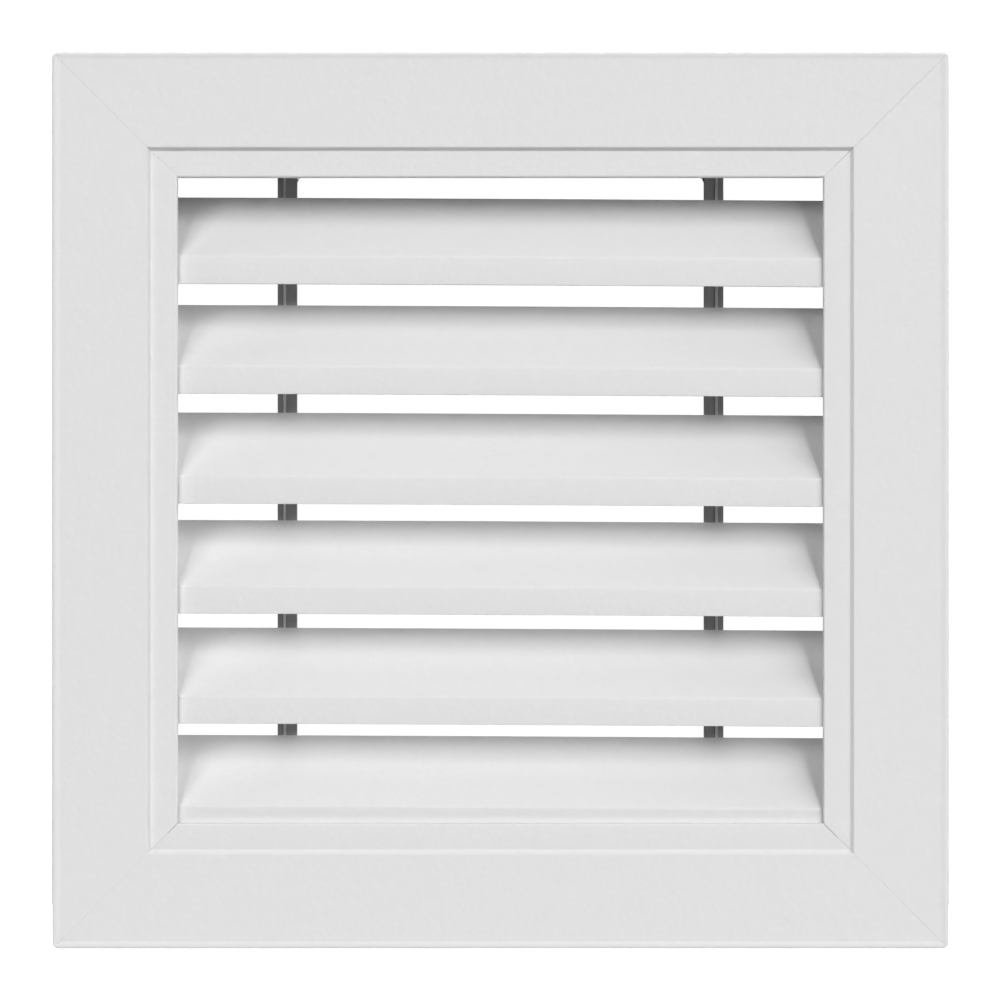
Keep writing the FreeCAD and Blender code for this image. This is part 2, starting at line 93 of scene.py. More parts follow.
# Where each soft light hangs, as the grille sees it: the bearings of its sides, the heights
# of its lower and upper edge, and its distance in metres. Straight ahead is 0 degrees, to
# the right is more, and behind the grille is 180.
LIGHTS = {
    "left_panel": ((-38, -20), (8, 25), 8.0),
    "left_strip": ((-15, -12), (8, 45), 8.0),
    "right_low": ((15, 38), (-12, 6), 8.0),
    "right_strip": ((12, 18), (8, 45), 8.0),
    "right_panel": ((18, 27), (8, 45), 8.0),
    "right_wide": ((28, 65), (8, 45), 8.0),
    "under": ((-45, 15), (-82, -60), 1.0),
    "top_back": ((150, 210), (70, 85), 3.0),
    "side_left": ((-105, -75), (5, 45), 3.0),
    "side_right": ((75, 105), (5, 45), 3.0),
    "back_right": ((105, 150), (5, 45), 3.0),
    "back_high": ((150, 210), (20, 60), 3.0),
    "back_low": ((150, 210), (-60, -20), 3.0),
}


def linear(hex_colour):
    """Turn an sRGB hex value into linear red, green, blue and alpha."""
    channels = [int(hex_colour[start:start + 2], 16) / 255 for start in (1, 3, 5)]
    return [part / 12.92 if part <= 0.04045 else ((part + 0.055) / 1.055) ** 2.4
            for part in channels] + [1.0]


def colour_property(name, description, hex_colour):
    """A colour that the user may change, with a hex default."""
    return FloatVectorProperty(name=name, description=description, subtype="COLOR", size=4,
                               min=0.0, max=1.0, default=linear(hex_colour))


def length_property(name, description, millimetres):
    """A length that the user may change, with a default in millimetres."""
    return FloatProperty(name=name, description=description, subtype="DISTANCE",
                         unit="LENGTH", min=0.0, default=millimetres * MM, precision=5)


def share_property(name, description, share):
    """A share from 0 to 1 that the user may change."""
    return FloatProperty(name=name, description=description, subtype="FACTOR",
                         min=0.0, max=1.0, default=share)


def power_property(name, description, watts):
    """Power of a light that the user may change."""
    return FloatProperty(name=name, description=description, unit="POWER",
                         min=0.0, default=watts)


def feed(tree, socket, given):
    """Give an input a value, or link it to a socket or to a node's first output."""
    if isinstance(given, bpy.types.Node):
        given = given.outputs[0]
    if isinstance(given, bpy.types.NodeSocket):
        tree.links.new(given, socket)
    else:
        socket.default_value = given


def add_node(tree, kind, inputs=None, **settings):
    """Add one node with its settings, and feed its inputs."""
    node = tree.nodes.new(kind)
    for name, setting in settings.items():
        setattr(node, name, setting)
    for key, given in (inputs or {}).items():
        feed(tree, node.inputs[key], given)
    return node


def new_material(name, shader_inputs):
    """Start a material with one surface shader, whose uniform values are set on it."""
    material = bpy.data.materials.new(name)
    material.use_nodes = True
    tree = material.node_tree
    tree.nodes.clear()
    shader = add_node(tree, "ShaderNodeBsdfPrincipled", shader_inputs)
    add_node(tree, "ShaderNodeOutputMaterial", {"Surface": shader})
    return material, tree, shader


def pattern_scale(width):
    """Scale of a pattern whose patches are this wide."""
    return 1.0 / width


def powder_coat(name, finish):
    """Polyester powder coat on aluminium: white, half matt, with a faint orange peel."""
    material, tree, shader = new_material(name, {"IOR": 1.5})
    place = add_node(tree, "ShaderNodeTexCoord").outputs["Object"]
    # Orange peel: the cured film keeps shallow waves, seen as a soft mottle in the light
    peel = add_node(tree, "ShaderNodeTexNoise", {
        "Vector": place, "Scale": pattern_scale(finish.peel_width),
        "Detail": 2.0, "Roughness": 0.45})
    # Grain: powder grains that did not quite flow out, seen as a fine tooth. Real ones are
    # about 0.05 mm wide, too fine to show, so they are drawn coarser
    grain = add_node(tree, "ShaderNodeTexNoise", {
        "Vector": place, "Scale": pattern_scale(finish.grain_width),
        "Detail": 1.0, "Roughness": 0.5})
    # Film thickness: the film is a little thinner in places, so the white drifts slightly
    film = add_node(tree, "ShaderNodeTexNoise", {
        "Vector": place, "Scale": pattern_scale(finish.film_width),
        "Detail": 4.0, "Roughness": 0.8})
    tone = add_node(tree, "ShaderNodeMix", {
        "Factor": film, "A": finish.white, "B": finish.thin_white}, data_type="RGBA")
    gloss = add_node(tree, "ShaderNodeMapRange", {
        "Value": film, "From Min": NOISE_LOW, "From Max": NOISE_HIGH,
        "To Min": finish.coat_roughness - finish.coat_drift,
        "To Max": finish.coat_roughness + finish.coat_drift})
    waves = add_node(tree, "ShaderNodeBump", {"Height": peel, "Distance": finish.peel_height})
    tooth = add_node(tree, "ShaderNodeBump", {
        "Height": grain, "Distance": finish.grain_height, "Normal": waves})
    feed(tree, shader.inputs["Base Color"], tone.outputs["Result"])
    feed(tree, shader.inputs["Roughness"], gloss)
    feed(tree, shader.inputs["Normal"], tooth)
    return material


def moulded_plastic(name, finish):
    """Injection moulded ABS: plain grey, satin, with a fine spark-eroded grain and a painted
    highlight along the crests of the ribs.
    """
    material, tree, shader = new_material(name, {"IOR": 1.53})
    place = add_node(tree, "ShaderNodeTexCoord").outputs["Object"]
    # Flow: the melt cooled unevenly along the part, seen as slow patches of tone
    flow = add_node(tree, "ShaderNodeTexNoise", {
        "Vector": place, "Scale": pattern_scale(finish.comb_flow_width),
        "Detail": 3.0, "Roughness": 0.55})
    # Grain of the mould, about a pixel wide here, seen as a soft sparkle up close
    grain = add_node(tree, "ShaderNodeTexNoise", {
        "Vector": place, "Scale": pattern_scale(finish.comb_grain_width),
        "Detail": 2.0, "Roughness": 0.6})
    tone = add_node(tree, "ShaderNodeMix", {
        "Factor": flow, "A": finish.comb_dark, "B": finish.comb_light}, data_type="RGBA")
    # Rib: its crest is painted pale, a painted highlight where the rib stands out and catches
    # the light, seen as a thin light line
    depth = add_node(tree, "ShaderNodeSeparateXYZ", {"Vector": place}).outputs["Y"]
    before_back = add_node(tree, "ShaderNodeMapRange", {
        "Value": depth, "From Min": finish.rib_back - finish.rib_blur,
        "From Max": finish.rib_back, "To Min": 1.0, "To Max": 0.0})
    past_front = add_node(tree, "ShaderNodeMapRange", {
        "Value": depth, "From Min": finish.rib_front - finish.rib_blur,
        "From Max": finish.rib_front, "To Min": 0.0, "To Max": 1.0})
    on_rib = add_node(tree, "ShaderNodeMath", {0: before_back, 1: past_front},
                      operation="MULTIPLY")
    highlit = add_node(tree, "ShaderNodeMix", {
        "Factor": on_rib, "A": tone.outputs["Result"], "B": finish.comb_painted_highlight},
        data_type="RGBA")
    gloss = add_node(tree, "ShaderNodeMapRange", {
        "Value": grain, "From Min": NOISE_LOW, "From Max": NOISE_HIGH,
        "To Min": finish.comb_roughness - finish.comb_drift,
        "To Max": finish.comb_roughness + finish.comb_drift})
    surface = add_node(tree, "ShaderNodeBump", {
        "Height": grain, "Distance": finish.comb_grain_height})
    feed(tree, shader.inputs["Base Color"], highlit.outputs["Result"])
    feed(tree, shader.inputs["Roughness"], gloss)
    feed(tree, shader.inputs["Normal"], surface)
    return material


def zinc_coated_steel(name, finish, crystal_width):
    """Bright zinc on steel: a cool grey metal with a passivated bloom."""
    material, tree, shader = new_material(name, {"Metallic": 1.0})
    place = add_node(tree, "ShaderNodeTexCoord").outputs["Object"]
    # Crystals of the zinc layer, seen as patches that turn the light a little apart
    crystals = add_node(tree, "ShaderNodeTexVoronoi", {
        "Vector": place, "Scale": pattern_scale(crystal_width)})
    patches = add_node(tree, "ShaderNodeSeparateColor", {"Color": crystals.outputs["Color"]})
    tone = add_node(tree, "ShaderNodeMix", {
        "Factor": patches.outputs["Red"], "A": finish.zinc_dark, "B": finish.zinc_light},
        data_type="RGBA")
    # Bloom: the passivation dried in uneven clouds, seen as duller and brighter areas
    bloom = add_node(tree, "ShaderNodeTexNoise", {
        "Vector": place, "Scale": pattern_scale(finish.bloom_width),
        "Detail": 4.0, "Roughness": 0.6})
    gloss = add_node(tree, "ShaderNodeMapRange", {
        "Value": bloom, "From Min": NOISE_LOW, "From Max": NOISE_HIGH,
        "To Min": finish.zinc_roughness - finish.zinc_drift,
        "To Max": finish.zinc_roughness + finish.zinc_drift})
    surface = add_node(tree, "ShaderNodeBump", {
        "Height": bloom, "Distance": finish.bloom_height})
    feed(tree, shader.inputs["Base Color"], tone.outputs["Result"])
    feed(tree, shader.inputs["Roughness"], gloss)
    feed(tree, shader.inputs["Normal"], surface)
    return material


def lit_board(name, studio):
    """Matt white board, lit from below, that turns to pure white away from the middle."""
    material, tree, shader = new_material(name, {
        "Base Color": studio.floor_tone, "Roughness": 0.9, "Specular IOR Level": 0.2,
        "Emission Color": linear("#FFFFFF")})
    place = add_node(tree, "ShaderNodeTexCoord").outputs["Object"]
    flat = add_node(tree, "ShaderNodeVectorMath", {0: place, 1: (1.0, 1.0, 0.0)},
                    operation="MULTIPLY")
    reach = add_node(tree, "ShaderNodeVectorMath", {0: flat}, operation="LENGTH")
    glow = add_node(tree, "ShaderNodeMapRange", {
        "Value": reach.outputs["Value"], "From Min": 0.0, "From Max": studio.floor_fade,
        "To Min": studio.floor_glow, "To Max": 1.0}, interpolation_type="SMOOTHSTEP")
    feed(tree, shader.inputs["Emission Strength"], glow)
    return material


def white_cloth(name, studio):
    """Backlit white cloth of the backdrop, which shows as pure white."""
    return new_material(name, {
        "Base Color": linear("#000000"), "Specular IOR Level": 0.0,
        "Emission Color": linear("#FFFFFF"), "Emission Strength": studio.dome_glow})[0]


def eased_copy(node_name, piece_name, material, ease, flat_angle=FLAT_ANGLE):
    """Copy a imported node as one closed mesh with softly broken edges."""
    shell = bmesh.new()
    shell.from_mesh(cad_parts[node_name].data)
    bmesh.ops.remove_doubles(shell, verts=shell.verts, dist=WELD)
    bmesh.ops.dissolve_limit(shell, angle_limit=LEVEL_ANGLE, use_dissolve_boundaries=False,
                             verts=shell.verts, edges=shell.edges, delimit=set())
    for face in shell.faces:
        face.smooth = True
    for edge in shell.edges:
        # Two wide flats meet in a crease, while the narrow facets of a round blend
        between_flats = all(face.calc_area() > WIDE_FLAT for face in edge.link_faces)
        limit = flat_angle if between_flats else SMOOTH_ANGLE
        edge.smooth = not edge.is_manifold or edge.calc_face_angle() < limit
    mesh = bpy.data.meshes.new(piece_name)
    shell.to_mesh(mesh)
    shell.free()
    mesh.materials.append(material)
    piece = bpy.data.objects.new(piece_name, mesh)
    bpy.context.scene.collection.objects.link(piece)
    bevel = piece.modifiers.new("Broken edges", "BEVEL")
    bevel.width = ease
    bevel.segments = 2
    bevel.limit_method = "ANGLE"
    bevel.angle_limit = SMOOTH_ANGLE
    bevel.use_clamp_overlap = True
    # Wide faces keep their own normal, so the light turns only on the rounds and edges
    piece.modifiers.new("Even shading", "WEIGHTED_NORMAL").keep_sharp = True
    return piece


def close_mitres(piece, band_outer, reach):
    """Let the flange of a frame length meet its neighbours, and leave the band's seam open."""
    size = piece.dimensions
    along, across = (0, 2) if size.x > size.z else (2, 0)
    for vertex in piece.data.vertices:
        if abs(vertex.co[across]) > band_outer:
            vertex.co[along] += math.copysign(reach, vertex.co[along])


def add_sockets(tree, sockets):
    """Give a tree its named inputs and one geometry output."""
    for name, kind, default in sockets:
        socket = tree.interface.new_socket(name=name, in_out="INPUT", socket_type=kind)
        if default is not None:
            socket.default_value = default
    tree.interface.new_socket(name="Geometry", in_out="OUTPUT",
                              socket_type="NodeSocketGeometry")


def rounded_outline(tree, corners, round_steps, closed=True):
    """Draw an outline through corners given as across, up and radius, and round them."""
    index = add_node(tree, "GeometryNodeInputIndex")
    places = add_node(tree, "GeometryNodeIndexSwitch", {"Index": index}, data_type="VECTOR")
    radii = add_node(tree, "GeometryNodeIndexSwitch", {"Index": index}, data_type="FLOAT")
    for switch in (places, radii):
        while len(switch.index_switch_items) < len(corners):
            switch.index_switch_items.new()
    for number, (across, up, radius) in enumerate(corners, start=1):
        corner = add_node(tree, "ShaderNodeCombineXYZ", {"X": across, "Y": up})
        feed(tree, places.inputs[number], corner)
        feed(tree, radii.inputs[number], radius)
    dots = add_node(tree, "GeometryNodeMeshLine", {"Count": len(corners)})
    line = add_node(tree, "GeometryNodeMeshToCurve", {"Mesh": dots})
    run = add_node(tree, "GeometryNodeSetSplineCyclic", {"Geometry": line, "Cyclic": closed})
    drawn = add_node(tree, "GeometryNodeSetPosition", {"Geometry": run, "Position": places})
    return add_node(tree, "GeometryNodeFilletCurve", {
        "Curve": drawn, "Count": round_steps, "Radius": radii, "Limit Radius": True},
        mode="POLY")


def shaded_and_coated(tree, geometry, material):
    """Shade the rounds smooth, keep the sharp edges and set the material."""
    angle = add_node(tree, "GeometryNodeInputMeshEdgeAngle").outputs["Unsigned Angle"]
    soft = add_node(tree, "FunctionNodeCompare", {"A": angle, "B": SMOOTH_ANGLE},
                    data_type="FLOAT", operation="LESS_THAN")
    smooth = add_node(tree, "GeometryNodeSetShadeSmooth", {
        "Geometry": geometry, "Shade Smooth": soft}, domain="EDGE")
    return add_node(tree, "GeometryNodeSetMaterial", {
        "Geometry": smooth, "Material": material})


def blade_tree():
    """Section of one blade, drawn as an outline and drawn out along X."""
    tree = bpy.data.node_groups.new("Blade", "GeometryNodeTree")
    add_sockets(tree, [
        ("Length", "NodeSocketFloat", 0.1548),
        ("Rise", "NodeSocketFloat", 0.01525),
        ("Run", "NodeSocketFloat", 0.0158),
        ("Thickness", "NodeSocketFloat", 0.001),
        ("Lip", "NodeSocketFloat", 0.00635),
        ("Hem", "NodeSocketFloat", 0.005),
        ("Crease Radius", "NodeSocketFloat", 0.001),
        ("Hem Radius", "NodeSocketFloat", 0.0003),
        ("Crease Inner Radius", "NodeSocketFloat", 0.0005),
        ("Hem Inner Radius", "NodeSocketFloat", 0.00015),
        ("Edge Radius", "NodeSocketFloat", 0.00015),
        ("Steps Along", "NodeSocketInt", 13),
        ("Round Steps", "NodeSocketInt", 7),
    ])
    given = add_node(tree, "NodeGroupInput").outputs
    slope = add_node(tree, "ShaderNodeMath", {0: given["Rise"], 1: given["Run"]},
                     operation="DIVIDE")
    # How far the underside lies below the slope, measured upright
    squared = add_node(tree, "ShaderNodeMath", {0: slope, 1: slope}, operation="MULTIPLY")
    raised = add_node(tree, "ShaderNodeMath", {0: squared, 1: 1.0}, operation="ADD")
    stretch = add_node(tree, "ShaderNodeMath", {0: raised}, operation="SQRT")
    below = add_node(tree, "ShaderNodeMath", {0: given["Thickness"], 1: stretch},
                     operation="MULTIPLY")
    hem_face = add_node(tree, "ShaderNodeMath", {0: given["Run"], 1: given["Thickness"]},
                        operation="SUBTRACT")
    hem_foot = add_node(tree, "ShaderNodeMath", {0: given["Rise"], 1: given["Hem"]},
                        operation="SUBTRACT")
    over_hem = add_node(tree, "ShaderNodeMath", {0: hem_face, 1: slope}, operation="MULTIPLY")
    under_hem = add_node(tree, "ShaderNodeMath", {0: over_hem, 1: below},
                         operation="SUBTRACT")
    over_lip = add_node(tree, "ShaderNodeMath", {0: given["Thickness"], 1: slope},
                        operation="MULTIPLY")
    under_lip = add_node(tree, "ShaderNodeMath", {0: over_lip, 1: below},
                         operation="SUBTRACT")
    lip_foot = add_node(tree, "ShaderNodeMath", {0: given["Lip"], 1: -1.0},
                        operation="MULTIPLY")
    outline = rounded_outline(tree, [
        (0.0, 0.0, given["Crease Radius"]),
        (given["Run"], given["Rise"], given["Hem Radius"]),
        (given["Run"], hem_foot, given["Edge Radius"]),
        (hem_face, hem_foot, given["Edge Radius"]),
        (hem_face, under_hem, given["Hem Inner Radius"]),
        (given["Thickness"], under_lip, given["Crease Inner Radius"]),
        (given["Thickness"], lip_foot, given["Edge Radius"]),
        (0.0, lip_foot, given["Edge Radius"]),
    ], given["Round Steps"])
    half = add_node(tree, "ShaderNodeMath", {0: given["Length"], 1: 0.5},
                    operation="MULTIPLY")
    minus_half = add_node(tree, "ShaderNodeMath", {0: half, 1: -1.0}, operation="MULTIPLY")
    start = add_node(tree, "ShaderNodeCombineXYZ", {"X": minus_half})
    end = add_node(tree, "ShaderNodeCombineXYZ", {"X": half})
    path = add_node(tree, "GeometryNodeCurvePrimitiveLine", {"Start": start, "End": end})
    steps = add_node(tree, "GeometryNodeResampleCurve", {
        "Curve": path, "Count": given["Steps Along"]})
    drawn_out = add_node(tree, "GeometryNodeCurveToMesh", {
        "Curve": steps, "Profile Curve": outline, "Fill Caps": True})
    outward = add_node(tree, "GeometryNodeFlipFaces", {"Mesh": drawn_out})
    turned = add_node(tree, "GeometryNodeTransform", {
        "Geometry": outward, "Rotation": (math.pi, 0.0, 0.0)})
    add_node(tree, "NodeGroupOutput", {"Geometry": turned})
    return tree


def louvre_row_tree(blade):
    """Row of equal blades down the opening."""
    tree = bpy.data.node_groups.new("Louvre row", "GeometryNodeTree")
    sizes = [(item.name, item.socket_type, item.default_value)
             for item in blade.interface.items_tree if item.in_out == "INPUT"]
    add_sockets(tree, sizes + [
        ("Count", "NodeSocketInt", 6),
        ("Pitch", "NodeSocketFloat", 0.025),
        ("Top Crease", "NodeSocketFloat", 0.05525),
        ("Lip Depth", "NodeSocketFloat", -0.0034),
        ("Roll", "NodeSocketFloat", 0.0),
        ("Bow", "NodeSocketFloat", 0.0),
        ("Material", "NodeSocketMaterial", None),
    ])
    given = add_node(tree, "NodeGroupInput").outputs
    one = add_node(tree, "GeometryNodeGroup", node_tree=blade)
    for name, _, _ in sizes:
        feed(tree, one.inputs[name], given[name])
    first = add_node(tree, "ShaderNodeCombineXYZ",
                     {"Y": given["Lip Depth"], "Z": given["Top Crease"]})
    down = add_node(tree, "ShaderNodeMath", {0: given["Pitch"], 1: -1.0},
                    operation="MULTIPLY")
    step = add_node(tree, "ShaderNodeCombineXYZ", {"Z": down})
    seats = add_node(tree, "GeometryNodeMeshLine", {
        "Count": given["Count"], "Start Location": first, "Offset": step})
    turn = add_node(tree, "ShaderNodeCombineXYZ", {"Y": given["Roll"]})
    blades = add_node(tree, "GeometryNodeInstanceOnPoints", {
        "Points": seats, "Instance": one, "Rotation": turn})
    made = add_node(tree, "GeometryNodeRealizeInstances", {"Geometry": blades})
    # Each blade springs up a little between its ends, as rolled or drawn lengths do
    place = add_node(tree, "GeometryNodeInputPosition")
    across = add_node(tree, "ShaderNodeSeparateXYZ", {"Vector": place}).outputs["X"]
    half = add_node(tree, "ShaderNodeMath", {0: given["Length"], 1: 0.5},
                    operation="MULTIPLY")
    share = add_node(tree, "ShaderNodeMath", {0: across, 1: half}, operation="DIVIDE")
    squared = add_node(tree, "ShaderNodeMath", {0: share, 1: share}, operation="MULTIPLY")
    rest = add_node(tree, "ShaderNodeMath", {0: 1.0, 1: squared}, operation="SUBTRACT")
    arch = add_node(tree, "ShaderNodeMath", {0: given["Bow"], 1: rest},
                    operation="MULTIPLY")
    lift = add_node(tree, "ShaderNodeCombineXYZ", {"Z": arch})
    bowed = add_node(tree, "GeometryNodeSetPosition", {"Geometry": made, "Offset": lift})
    add_node(tree, "NodeGroupOutput", {
        "Geometry": shaded_and_coated(tree, bowed, given["Material"])})
    return tree


def pan_screw_tree():
    """One pan head screw with its seat at the origin and its tip up."""
    tree = bpy.data.node_groups.new("Pan head screw", "GeometryNodeTree")
    add_sockets(tree, [
        ("Head Width", "NodeSocketFloat", 0.0044),
        ("Head Height", "NodeSocketFloat", 0.0015),
        ("Crown Share", "NodeSocketFloat", 0.6),
        ("Rim Radius", "NodeSocketFloat", 0.00008),
        ("Shank Width", "NodeSocketFloat", 0.0025),
        ("Shank Length", "NodeSocketFloat", 0.00325),
        ("Tip Radius", "NodeSocketFloat", 0.0002),
        ("Recess Length", "NodeSocketFloat", 0.0026),
        ("Recess Width", "NodeSocketFloat", 0.0006),
        ("Recess Depth", "NodeSocketFloat", 0.0008),
        ("Pit Share", "NodeSocketFloat", 1.2),
        ("Pit Point", "NodeSocketFloat", 0.00005),
        ("Pit Sides", "NodeSocketInt", 16),
        ("Axis Radius", "NodeSocketFloat", 0.000001),
        ("Weld", "NodeSocketFloat", 0.000003),
        ("Sides", "NodeSocketInt", 48),
        ("Round Steps", "NodeSocketInt", 8),
    ])
    given = add_node(tree, "NodeGroupInput").outputs
    head_radius = add_node(tree, "ShaderNodeMath", {0: given["Head Width"], 1: 0.5},
                           operation="MULTIPLY")
    shank_radius = add_node(tree, "ShaderNodeMath", {0: given["Shank Width"], 1: 0.5},
                            operation="MULTIPLY")
    top = add_node(tree, "ShaderNodeMath", {0: given["Head Height"], 1: -1.0},
                   operation="MULTIPLY")
    crown = add_node(tree, "ShaderNodeMath", {
        0: given["Head Height"], 1: given["Crown Share"]}, operation="MULTIPLY")
    profile = rounded_outline(tree, [
        (0.0, top, 0.0),
        (head_radius, top, crown),
        (head_radius, 0.0, given["Rim Radius"]),
        (shank_radius, 0.0, 0.0),
        (shank_radius, given["Shank Length"], given["Tip Radius"]),
        (0.0, given["Shank Length"], 0.0),
    ], given["Round Steps"], closed=False)
    axis = add_node(tree, "GeometryNodeCurvePrimitiveCircle", {
        "Resolution": given["Sides"], "Radius": given["Axis Radius"]})
    lathed = add_node(tree, "GeometryNodeCurveToMesh", {
        "Curve": axis, "Profile Curve": profile})
    solid = add_node(tree, "GeometryNodeMergeByDistance", {
        "Geometry": lathed, "Distance": given["Weld"]})
    # The lathe leaves the head on top, and the head belongs below the seat
    turned = add_node(tree, "GeometryNodeTransform", {
        "Geometry": solid, "Rotation": (math.pi, 0.0, 0.0)})
    # The cross recess: two slots and a pointed pit where they meet
    slot_height = add_node(tree, "ShaderNodeMath", {0: given["Recess Depth"], 1: 2.0},
                           operation="MULTIPLY")
    slot_size = add_node(tree, "ShaderNodeCombineXYZ", {
        "X": given["Recess Length"], "Y": given["Recess Width"], "Z": slot_height})
    slot = add_node(tree, "GeometryNodeMeshCube", {"Size": slot_size})
    crossed = add_node(tree, "GeometryNodeTransform", {
        "Geometry": slot, "Rotation": (0.0, 0.0, math.pi / 2)})
    pit_depth = add_node(tree, "ShaderNodeMath", {
        0: given["Recess Depth"], 1: given["Pit Share"]}, operation="MULTIPLY")
    pit = add_node(tree, "GeometryNodeMeshCone", {
        "Vertices": given["Pit Sides"], "Radius Bottom": given["Recess Width"],
        "Radius Top": given["Pit Point"], "Depth": pit_depth})
    face = add_node(tree, "ShaderNodeCombineXYZ", {"Z": top})
    cut = add_node(tree, "GeometryNodeMeshBoolean", {"Mesh 1": turned},
                   operation="DIFFERENCE", solver="EXACT")
    for cutter in (slot, crossed, pit):
        seated = add_node(tree, "GeometryNodeTransform", {
            "Geometry": cutter, "Translation": face})
        feed(tree, cut.inputs["Mesh 2"], seated)
    add_node(tree, "NodeGroupOutput", {"Geometry": cut})
    return tree


def screw_set_tree(screw):
    """The screws at the two ends of both combs, with their tips turned outwards."""
    tree = bpy.data.node_groups.new("Screw set", "GeometryNodeTree")
    sizes = [(item.name, item.socket_type, item.default_value)
             for item in screw.interface.items_tree if item.in_out == "INPUT"]
    add_sockets(tree, sizes + [
        ("Span Across", "NodeSocketFloat", 0.0994),
        ("Span Up", "NodeSocketFloat", 0.1524),
        ("Depth", "NodeSocketFloat", 0.02),
        ("Material", "NodeSocketMaterial", None),
    ])
    given = add_node(tree, "NodeGroupInput").outputs
    one = add_node(tree, "GeometryNodeGroup", node_tree=screw)
    for name, _, _ in sizes:
        feed(tree, one.inputs[name], given[name])
    grid = add_node(tree, "GeometryNodeMeshGrid", {
        "Size X": given["Span Across"], "Size Y": given["Span Up"],
        "Vertices X": 2, "Vertices Y": 2})
    depth = add_node(tree, "ShaderNodeCombineXYZ", {"Y": given["Depth"]})
    upright = add_node(tree, "GeometryNodeTransform", {
        "Geometry": grid, "Translation": depth, "Rotation": (math.pi / 2, 0.0, 0.0)})
    # The screws of the lower row are turned over
    place = add_node(tree, "GeometryNodeInputPosition")
    height = add_node(tree, "ShaderNodeSeparateXYZ", {"Vector": place}).outputs["Z"]
    low = add_node(tree, "ShaderNodeMath", {0: height, 1: 0.0}, operation="LESS_THAN")
    half_turn = add_node(tree, "ShaderNodeMath", {0: low, 1: math.pi}, operation="MULTIPLY")
    turn = add_node(tree, "ShaderNodeCombineXYZ", {"Y": half_turn})
    screws = add_node(tree, "GeometryNodeInstanceOnPoints", {
        "Points": upright, "Instance": one, "Rotation": turn})
    made = add_node(tree, "GeometryNodeRealizeInstances", {"Geometry": screws})
    add_node(tree, "NodeGroupOutput", {
        "Geometry": shaded_and_coated(tree, made, given["Material"])})
    return tree


def grown_piece(name, tree, values, material):
    """Run a tree on an empty mesh and keep its result as a plain mesh."""
    seed_object = bpy.data.objects.new(name + "_seed", bpy.data.meshes.new(name + "_seed"))
    bpy.context.scene.collection.objects.link(seed_object)
    modifier = seed_object.modifiers.new(tree.name, "NODES")
    modifier.node_group = tree
    for item in tree.interface.items_tree:
        if item.in_out == "INPUT" and item.name in values:
            modifier[item.identifier] = values[item.name]
    seed_object.update_tag()
    graph = bpy.context.evaluated_depsgraph_get()
    mesh = bpy.data.meshes.new_from_object(seed_object.evaluated_get(graph), depsgraph=graph)
    seed_object.modifiers.remove(modifier)
    bpy.data.objects.remove(seed_object)
    if not mesh.polygons:
        raise RuntimeError(f"the tree {tree.name} made no faces")
    mesh.name = name
    mesh.materials.clear()
    mesh.materials.append(material)
    piece = bpy.data.objects.new(name, mesh)
    bpy.context.scene.collection.objects.link(piece)
    return piece


class GrilleFinishSettings(bpy.types.PropertyGroup):
    """Colours and textures of the grille's materials."""

    white: colour_property("White", "Powder coat where the film is thick", "#E1E1E1")
    thin_white: colour_property("Thin white", "Powder coat where the film is thin", "#DCDCDC")
    coat_roughness: share_property("Coat roughness", "Mean roughness of the coat", 0.6)
    coat_drift: share_property("Coat drift", "Change of roughness either way", 0.04)
    peel_width: length_property("Peel width", "Width of the orange peel's waves", 1.6)
    peel_height: length_property("Peel height", "Height of the orange peel's waves", 0.06)
    grain_width: length_property("Grain width", "Width of the powder's grains", 0.4)
    grain_height: length_property("Grain height", "Height of the powder's grains", 0.006)
    film_width: length_property("Film width", "Width of patches of the film", 3.0)
    comb_dark: colour_property("Comb, dark", "Plastic of the combs, darker patches", "#ACACAC")
    comb_light: colour_property("Comb, light", "Plastic of the combs, lighter patches",
                                "#B4B4B4")
    # Crest of the ribs: a painted highlight, not a colour of the plastic
    comb_painted_highlight: colour_property("Comb, rubbed", "Crest of the combs' ribs", "#E0E0E0")
    comb_roughness: share_property("Comb roughness", "Mean roughness of the combs", 0.5)
    comb_drift: share_property("Comb drift", "Change of roughness either way", 0.08)
    comb_flow_width: length_property("Comb flow", "Width of the plastic's patches", 9.0)
    comb_grain_width: length_property("Comb grain", "Width of the mould's grain", 0.2)
    comb_grain_height: length_property("Comb grain height", "Height of the grain", 0.006)
    rib_front: length_property("Rib front", "Depth where the ribs of the combs begin", 12.75)
    rib_back: length_property("Rib back", "Depth where the ribs of the combs end", 13.35)
    rib_blur: length_property("Rib blur", "Soft border of the rubbed crest", 0.1)
    zinc_dark: colour_property("Zinc, dark", "Duller crystals of the zinc", "#B4B7BA")
    zinc_light: colour_property("Zinc, light", "Brighter crystals of the zinc", "#D2D5D7")
    zinc_roughness: share_property("Zinc roughness", "Mean roughness of the zinc", 0.37)
    zinc_drift: share_property("Zinc drift", "Change of roughness either way", 0.09)
    bloom_width: length_property("Bloom width", "Width of clouds on the zinc", 3.0)
    bloom_height: length_property("Bloom height", "Height of clouds on the zinc", 0.01)
    key_crystals: length_property("Key crystals", "Width of the keys' zinc crystals", 5.0)
    screw_crystals: length_property("Screw crystals", "Width of the screws' crystals", 0.4)


